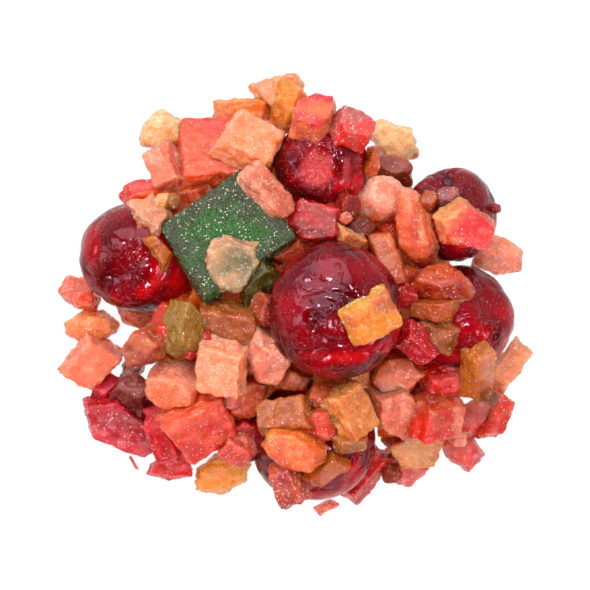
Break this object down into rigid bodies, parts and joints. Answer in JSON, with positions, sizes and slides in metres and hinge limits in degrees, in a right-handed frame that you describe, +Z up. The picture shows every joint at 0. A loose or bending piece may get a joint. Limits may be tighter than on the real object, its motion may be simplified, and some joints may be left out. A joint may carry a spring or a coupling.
{
  "type": "candied fruit heap",
  "caption": "Loose heap of candied fruit: glossy red cherries, a square of green peel and diced citrus peel.",
  "frame": {"origin": "middle of the heap's flat underside, on the surface it lies on", "axes": "+Z up; seen from straight above, +X is to the right of the picture and +Y to its top"},
  "size_m": [0.0803, 0.0749, 0.0312],
  "materials": {
    "glace_cherry": "glossy, sticky, deep red",
    "green_peel": "clear green under a dusting of sugar",
    "peach_peel": "sugared, faintly see-through",
    "salmon_papaya": "moist, faintly see-through",
    "orange_peel": "moist, faintly see-through",
    "amber_peel": "syrup-soaked, clear",
    "brown_peel": "syrup-soaked, wrinkled",
    "red_papaya": "moist, faintly see-through",
    "crimson_papaya": "moist, fibrous",
    "pink_papaya": "dull, sugared",
    "yellow_peel": "moist, bright",
    "pale_peel": "heavily sugared"
  },
  "bodies": {
    "root": {"almond": "salmon_papaya", "amber_bit": "amber_peel", "amber_chip": "amber_peel", "amber_sliver": "amber_peel", "amber_small": "amber_peel", "amber_strip": "amber_peel", "amber_tall": "amber_peel", "amber_under_pyramid": "amber_peel", "amber_wrinkled": "amber_peel", "bar_behind_slab": "orange_peel", "beige_flake": "pale_peel", "big_slab": "salmon_papaya", "brown_by_cherry": "brown_peel", "brown_orange": "brown_peel", "brown_pink": "pink_papaya", "brown_red_square": "salmon_papaya", "cherry_bottom": "glace_cherry", "cherry_flake": "brown_peel", "cherry_left": "glace_cherry", "cherry_middle": "glace_cherry", "cherry_right": "glace_cherry", "cherry_top": "glace_cherry", "cherry_top_right": "glace_cherry", "crimson_flap": "crimson_papaya", "crimson_main": "crimson_papaya", "far_right_peach": "peach_peel", "fibrous_salmon": "salmon_papaya", "fruit_heap": "salmon_papaya", "green_square": "green_peel", "left_oval": "peach_peel", "left_salmon": "salmon_papaya", "left_wedge": "salmon_papaya", "low_right_red": "red_papaya", "mauve_crystal": "pink_papaya", "orange_lump": "orange_peel", "orange_wrinkled": "orange_peel", "pale_pink_lump": "peach_peel", "pale_yellow": "pale_peel", "peach_cube": "peach_peel", "peach_sliver": "brown_peel", "peach_square": "peach_peel", "peach_stick": "peach_peel", "peach_tip": "peach_peel", "pink_curl": "pink_papaya", "pink_flake_low": "pink_papaya", "pink_mauve": "pink_papaya", "pink_rod": "pink_papaya", "pink_salmon": "salmon_papaya", "red_curl": "red_papaya", "red_long": "red_papaya", "red_lump": "red_papaya", "red_orange_lump": "red_papaya", "red_peach_piece": "red_papaya", "red_point": "red_papaya", "red_salmon_slab": "salmon_papaya", "right_red": "red_papaya", "salmon_lump": "salmon_papaya", "top_left_yellow": "pale_peel", "yellow_chip": "yellow_peel", "yellow_piece": "yellow_peel"}
  },
  "joints": []
}
